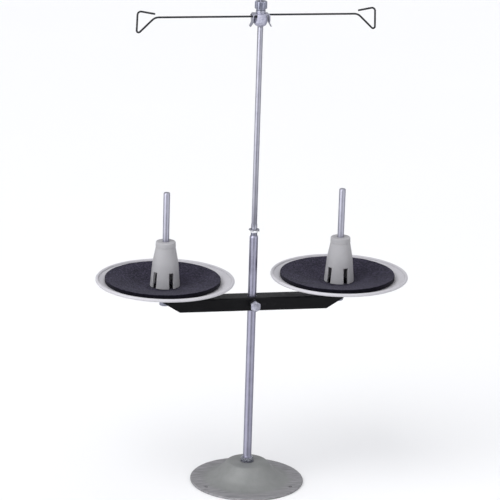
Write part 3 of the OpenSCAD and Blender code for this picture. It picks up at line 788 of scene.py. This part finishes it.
def pad(side_name):
    """Foam disc lying off centre in the dish, dented where the adapter stands on it."""
    node = f"foam_pad_{side_name}"
    _, high, radius, middle = span(node)
    side = SIDES[side_name]
    hole, rest = 11 * MM, 19 * MM
    thick, sag, edge = 4.8 * MM, 9.7 * MM, 0.7 * MM
    slope = sag / (radius - rest)
    foot_z, _, foot_r, axis = span(f"cone_adapter_{side_name}")
    wave, wave_size = 0.2 * MM, 11 * MM
    ripple, ripple_size = 0.06 * MM, 2.2 * MM
    bulge, bulge_reach = 0.7 * MM, 5 * MM

    def face(r, angle):
        """Height of the pad's top."""
        x, y = r * cos(angle), r * sin(angle)
        waves = noise.noise(Vector((x, y, side)) / wave_size) * wave
        waves += noise.noise(Vector((x, y, 5 + side)) / ripple_size) * ripple
        height = high - (radius - max(r, rest)) * slope - 0.27 * MM + waves
        from_axis = hypot(middle[0] + x - axis[0], middle[1] + y - axis[1])
        if from_axis < foot_r + 0.3 * MM:
            return min(height, foot_z - 0.03 * MM)
        return height + bulge * max(0, 1 - (from_axis - foot_r) / bulge_reach)

    def outline(angle):
        inner, outer = hole, radius - 0.05 * MM
        points = []
        for s in range(28):
            r = inner + (outer - inner - edge) * s / 27
            points.append((r, high - (radius - max(r, rest)) * slope - thick))
        bottom = points[-1][1]
        lip = face(outer - edge, angle)
        for s in range(1, 6):
            a = -pi / 2 + pi / 2 * s / 6
            points.append((outer - edge + edge * cos(a), bottom + edge + edge * sin(a)))
        for s in range(7):
            a = pi / 2 * s / 6
            points.append((outer - edge + edge * cos(a), lip - edge + edge * sin(a)))
        for s in range(1, 61):
            r = outer - edge - (outer - edge - inner) * s / 60
            points.append((r, face(r, angle)))
        return points

    made = piece(f"pad_{side_name}", turned(outline, 200, middle), "spool_bar", PAD_FOAM, [node], 60)


def pin(side_name):
    """Spool pin: threaded foot, shoulder, a groove over the adapter and a chamfered top."""
    node = f"spool_pin_{side_name}"
    low, high, radius, middle = span(node)
    screw = 3 * MM
    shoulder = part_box(f"pin_top_nut_{side_name}")[1].z + 0.4 * MM
    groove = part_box(f"cone_adapter_{side_name}")[1].z + 0.6 * MM
    depth, width = 0.4 * MM, 0.8 * MM

    def outline(angle):
        points = [(0, low), (screw - 0.7 * MM, low)]
        points += thread(low + 0.5 * MM, shoulder - 0.5 * MM, screw, MM, angle)
        return points + [(screw, shoulder), (radius - 0.3 * MM, shoulder), (radius, shoulder + 0.3 * MM),
                         (radius, groove), (radius - depth, groove), (radius - depth, groove + width),
                         (radius, groove + width), (radius, high - 0.9 * MM),
                         (radius - 0.35 * MM, high - 0.3 * MM), (radius - 0.8 * MM, high), (0, high)]

    mesh = turned(outline, 64, middle)
    piece(f"pin_shaft_{side_name}", mesh, "spool_bar", PIN_STEEL, [node], 50)


def adapter(side_name):
    """Hollow tapered adapter with a slotted foot, a banded top and a tube round the pin."""
    node = f"cone_adapter_{side_name}"
    low, high, foot_r, middle = span(node)
    wall, lid = 1.8 * MM, 2.5 * MM
    bore, tube = 3.56 * MM, 5.2 * MM
    waist_r, waist = 14 * MM, low + 25.9 * MM
    band_r, band = 10.9 * MM, high - 5.4 * MM
    top_r = 10.6 * MM
    tube_low = high - 42 * MM
    outline = rounded(
        (foot_r - wall, low, 0.3 * MM), (foot_r, low, 0.5 * MM), (waist_r, waist, 30 * MM),
        (band_r - 0.25 * MM, band - 0.5 * MM, 1.5 * MM), (band_r, band, 0.2 * MM), (top_r, high, 1.1 * MM),
        (bore, high, 0.4 * MM), (bore, tube_low, 0.2 * MM), (tube, tube_low, 0.2 * MM),
        (tube, high - lid, 0.5 * MM), (band_r - wall, high - lid, 0.5 * MM), (band_r - wall, band),
        (waist_r - wall, waist, 20 * MM), steps=6)
    made = piece(f"adapter_shell_{side_name}", lathe(outline, 144, middle), f"adapter_{side_name}",
                 ADAPTER_PLASTIC, [node], 40)
    tools = []
    slots, half, height = 5, 2.65 * MM, 17.5 * MM
    first_slot = {"left": -73, "right": -75}[side_name]
    for i in range(slots):
        swing = Matrix.Rotation(radians(first_slot + 360 / slots * i), 4, "Z")
        tools.append(slab((7.5 * MM, -half, low - MM), (foot_r + 2 * MM, half, low + height),
                          Matrix.Translation((*middle, 0)) @ swing))
    cut(made, *tools)


# ---------------------------------------------------------------- guide head

def head_block():
    """Round-bottomed block on the rod's shoulder, with wire grooves and a channel for the saddle."""
    low, high, radius, _ = span("guide_block")
    bore, counterbore = STUD_HOLE, 3.3 * MM
    step = low + 2 * MM
    wire_r = 1.06 * MM
    floor_z, wire = high - MM, high - WIRE_DEPTH
    round_r, round_z = 5.6 * MM, low + 5.2 * MM
    start = -asin((round_z - low) / round_r)
    bowl = []
    for s in range(17):
        a = start * (1 - s / 16)
        bowl.append((radius - round_r + round_r * cos(a), round_z + round_r * sin(a)))
    outline = ([(counterbore, low)] + bowl
               + [(radius, high - 0.9 * MM), (radius - 0.15 * MM, high - 0.4 * MM), (radius - 0.7 * MM, high),
                  (bore, high), (bore, step), (counterbore, step)])
    made = piece("head_block", lathe(outline), "guide_head", BLOCK_STEEL, ["guide_block"], 40)
    past, channel_half = 12 * MM, 5.56 * MM
    tools = [slab((-past, -channel_half, floor_z), (past, channel_half, high + MM))]
    for y in (-WIRE_OFFSET, WIRE_OFFSET):
        tools.append(drill((-past, y, wire), (past, y, wire), wire_r, 32))
        tools.append(slab((-past, y - wire_r, wire), (past, y + wire_r, high + MM)))
    cut(made, *tools)


def saddle():
    """Bent strip that pinches the wires: narrow over the block, with flared legs that taper down."""
    low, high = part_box("guide_saddle")
    strip, half, flare, bend_r = 1.2 * MM, 9.3 * MM, high.x, 2 * MM
    flare_z, narrow_z = high.z - 9.4 * MM, high.z - 6.4 * MM
    wire_z, wire_hole = high.z - 2.5 * MM, 1.3 * MM
    leg = [(half, narrow_z), (half, flare_z, 3 * MM), (flare, low.z + 0.6 * MM), (flare - 0.95 * MM, low.z),
           (half - strip, flare_z, 2 * MM), (half - strip, narrow_z),
           (half - strip, high.z - strip, bend_r - strip)]
    mirrored = [(-corner[0], *corner[1:]) for corner in leg]
    outline = rounded((half, high.z, bend_r), (-half, high.z, bend_r), *mirrored, *reversed(leg), steps=6)

    def face(side):
        """The outline on one side of the strip."""
        foot = 2.68 * MM
        return [(x, side * (foot + (high.y - foot) * min(1, (z - low.z) / (narrow_z - low.z))), z)
                for x, z in outline]

    made = piece("saddle_strip", lofted(face(1), face(-1)), "guide_head", FITTING_STEEL,
                 ["guide_saddle"], 40)
    bevel(made, 0.15 * MM, 2, 50)
    stud_hole, top_half, past = 2.7 * MM, 5.35 * MM, 15 * MM
    tools = [drill((0, 0, high.z - 3 * MM), (0, 0, high.z + MM), stud_hole)]
    for y in (-WIRE_OFFSET, WIRE_OFFSET):
        tools.append(drill((-past, y, wire_z), (past, y, wire_z), wire_hole, 32))
    for back, front in ((-high.y - MM, -top_half), (top_half, high.y + MM)):
        tools.append(slab((bend_r - half, back, high.z - 2.2 * MM), (half - bend_r, front, high.z + MM)))
    cut(made, *tools)


def eyelet_wire(side_name):
    """Guide wire with an open triangular eyelet at its outer end."""
    node = f"guide_wire_{side_name}"
    _, _, _, (_, y) = span(node)
    side = SIDES[side_name]
    radius = MM
    wire_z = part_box("guide_block")[1].z - WIRE_DEPTH
    width, drop, rise, end_rise, lean = 19.3 * MM, 18.7 * MM, 7 * MM, 3.6 * MM, 0.9 * MM
    reach = {"left": 132.3, "right": 125.3}[side_name] * MM
    length = 135.3 * MM
    inner = reach - length
    corners = [(inner, wire_z), (reach - width, wire_z), (reach, wire_z - drop),
               (reach - lean, wire_z + rise), (reach - width, wire_z + end_rise)]
    bends = [10 * MM, 2 * MM, 3.5 * MM]
    path = bent([(side * x, y, z) for x, z in corners], bends)
    piece(f"eyelet_wire_{side_name}", swept(path, radius), f"wire_{side_name}", WIRE_PAINT,
          [node], 50)


def collar():
    """Two-step turned collar under the knob."""
    low, high, radius, _ = span("lock_collar")
    bore, neck, upper = 2.65 * MM, radius - 0.45 * MM, radius - 0.1 * MM
    outline = rounded((bore, low), (radius - 0.2 * MM, low, 0.2 * MM), (radius, low + 1.5 * MM, 0.2 * MM),
                      (neck, low + 1.7 * MM, 0.15 * MM), (neck, low + 1.95 * MM, 0.1 * MM),
                      (upper, low + 2.1 * MM, 0.15 * MM), (upper, high, 0.35 * MM), (bore, high), steps=3)
    piece("collar_ring", lathe(outline), "guide_head", FITTING_STEEL,
          ["lock_collar"], 40)


def knob():
    """Thumb knob with rounded flutes and a dished top."""
    low, high, _, _ = span("thumb_knob")
    bore, neck, head = STUD_HOLE, 4.9 * MM, 6.6 * MM
    flutes, depth = 16, 0.75 * MM
    step = low + 1.6 * MM

    def outline(angle):
        grip = head - depth * max(0, cos(flutes * angle)) ** 1.5
        return [(bore, low), (neck - 0.3 * MM, low), (neck, low + 0.3 * MM), (neck, step),
                (grip - 0.5 * MM, step), (grip - 0.12 * MM, step + 0.2 * MM), (grip, step + 0.6 * MM),
                (grip, high - MM), (grip - 0.15 * MM, high - 0.5 * MM), (grip - 0.5 * MM, high - 0.15 * MM),
                (grip - MM, high), (4.2 * MM, high), (3.9 * MM, high - 0.25 * MM),
                (bore + 0.3 * MM, high - 0.3 * MM), (bore, high - 0.55 * MM)]

    mesh = turned(outline, flutes * 12)
    piece("knob_fluted", mesh, "knob", NUT_STEEL, ["thumb_knob"], 30)


base_shell()
flat_washer("foot_washer_ring", "foot_washer", "base", FOOT_WASHER_HOLE, DARK_STEEL)
hex_nut("foot_nut_hex", "foot_nut", "base", *FOOT_NUT, FOOT_STEEL)
flat_washer("under_washer_ring", "under_washer", "base", FOOT_WASHER_HOLE, FITTING_STEEL)
hex_nut("under_nut_hex", "under_nut", "base", *FOOT_NUT)
flat_washer("mast_washer_ring", "mast_washer", "base", ROD_HOLE, NYLON)
mast_tube()
mast_rod()
clip_ring()
bar_channel()
weld_nut()
clamp_bolt()
for name in SIDES:
    dish(name)
    pad(name)
    pin(name)
    adapter(name)
    flat_washer(f"top_washer_{name}", f"pin_top_washer_{name}", "spool_bar", PIN_WASHER_HOLE, FITTING_STEEL)
    flat_washer(f"low_washer_{name}", f"pin_under_washer_{name}", "spool_bar", PIN_WASHER_HOLE, FITTING_STEEL)
    hex_nut(f"top_nut_{name}", f"pin_top_nut_{name}", "spool_bar", *PIN_NUT)
    hex_nut(f"low_nut_{name}", f"pin_under_nut_{name}", "spool_bar", *PIN_NUT, NUT_STEEL)
    eyelet_wire(name)
head_block()
saddle()
collar()
knob()
# The clamp sleeve takes the dark steel as painted shade, standing for the shadow in the bar's mast hole.
for node, material in (("rod_guide", NYLON), ("clamp_sleeve", DARK_STEEL)):
    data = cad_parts[node].data
    data.materials.clear()
    data.materials.append(material)


# ---------------------------------------------------------------- floor, light and camera

def floor():
    """Plain pale floor."""
    mesh = bmesh.new()
    bmesh.ops.create_circle(mesh, cap_ends=True, segments=96, radius=14)
    made = solid("floor", mesh)
    surface = Surface("floor_paper", 0.85)
    tone = surface.noise(0.6, 2)
    surface.colour(surface.blended(tone, (0.90, 0.90, 0.91), (0.92, 0.92, 0.92)))
    surface.set(Specular_IOR_Level=0.1)
    made.data.materials.append(surface.material)
    made.visible_glossy = False


def direction(azimuth, elevation):
    """Unit vector in degrees round from the front, positive to the right, and up."""
    a, e = radians(azimuth), radians(elevation)
    return Vector((sin(a) * cos(e), -cos(a) * cos(e), sin(e)))


def softbox(name, azimuth, elevation, distance, size, power, aim=(0, 0, 0.25)):
    """Soft panel of light that faces a point from this distance."""
    light = bpy.data.lights.new(name, "AREA")
    light.shape = "RECTANGLE"
    light.size, light.size_y = size
    light.energy = power
    made = linked(name, light)
    away = direction(azimuth, elevation)
    made.location = Vector(aim) + away * distance
    made.rotation_euler = away.to_track_quat("Z", "Y").to_euler()


def sun(name, azimuth, elevation, strength, width):
    """Light from far away, as wide in degrees as a big studio panel."""
    light = bpy.data.lights.new(name, "SUN")
    light.energy = strength
    light.angle = radians(width)
    linked(name, light).rotation_euler = direction(azimuth, elevation).to_track_quat("Z", "Y").to_euler()


def sky():
    """Even studio light, brighter to each side of the camera and darker below it."""
    world = bpy.data.worlds.new("studio")
    bpy.context.scene.world = world
    world.use_nodes = True
    tree = world.node_tree
    background = tree.nodes["Background"]
    place = tree.nodes.new("ShaderNodeTexCoord").outputs["Generated"]
    total = None
    # azimuth and elevation, cosine of the angle where the glow ends, strength added at its middle
    glows = ((-65, 0, 0.55, 0.95), (42, 0, 0.75, 0.9), (-11, -17, 0.962, -0.35))
    for azimuth, elevation, spread, power in glows:
        dot = tree.nodes.new("ShaderNodeVectorMath")
        dot.operation = "DOT_PRODUCT"
        tree.links.new(place, dot.inputs[0])
        dot.inputs[1].default_value = direction(azimuth, elevation)
        lobe = tree.nodes.new("ShaderNodeMapRange")
        lobe.interpolation_type = "SMOOTHSTEP"
        lobe.inputs["From Min"].default_value = spread
        lobe.inputs["From Max"].default_value = 1.0
        lobe.inputs["To Max"].default_value = power
        tree.links.new(dot.outputs["Value"], lobe.inputs["Value"])
        if total is None:
            total = lobe.outputs["Result"]
        else:
            add = tree.nodes.new("ShaderNodeMath")
            tree.links.new(total, add.inputs[0])
            tree.links.new(lobe.outputs["Result"], add.inputs[1])
            total = add.outputs["Value"]
    even = tree.nodes.new("ShaderNodeMath")
    even.inputs[1].default_value = 0.55
    tree.links.new(total, even.inputs[0])
    background.inputs["Color"].default_value = (0.96, 0.97, 1.0, 1)
    tree.links.new(even.outputs["Value"], background.inputs["Strength"])


def camera():
    """Long lens at the photograph's angle, a little above the plates and to the left."""
    roll_degrees = 1.74
    data = bpy.data.cameras.new("camera")
    data.lens = 186.3
    data.sensor_width = 36
    data.clip_end = 50
    made = linked("camera", data)
    made.location = (-0.5255, -2.6249, 1.0710)
    aim = Vector((-0.0028, 0.0052, 0.2649))
    roll = Matrix.Rotation(radians(roll_degrees), 4, "Z")
    look = (aim - made.location).to_track_quat("-Z", "Y").to_matrix().to_4x4()
    made.rotation_euler = (look @ roll).to_euler()
    bpy.context.scene.camera = made


floor()
sky()
sun("key", azimuth=-50, elevation=52, strength=1.3, width=50)
sun("fill", azimuth=65, elevation=60, strength=0.5, width=80)
softbox("left_panel", azimuth=-62, elevation=20, distance=2.2, size=(0.7, 2.2), power=9)
camera()
bpy.context.scene.view_settings.view_transform = "Standard"
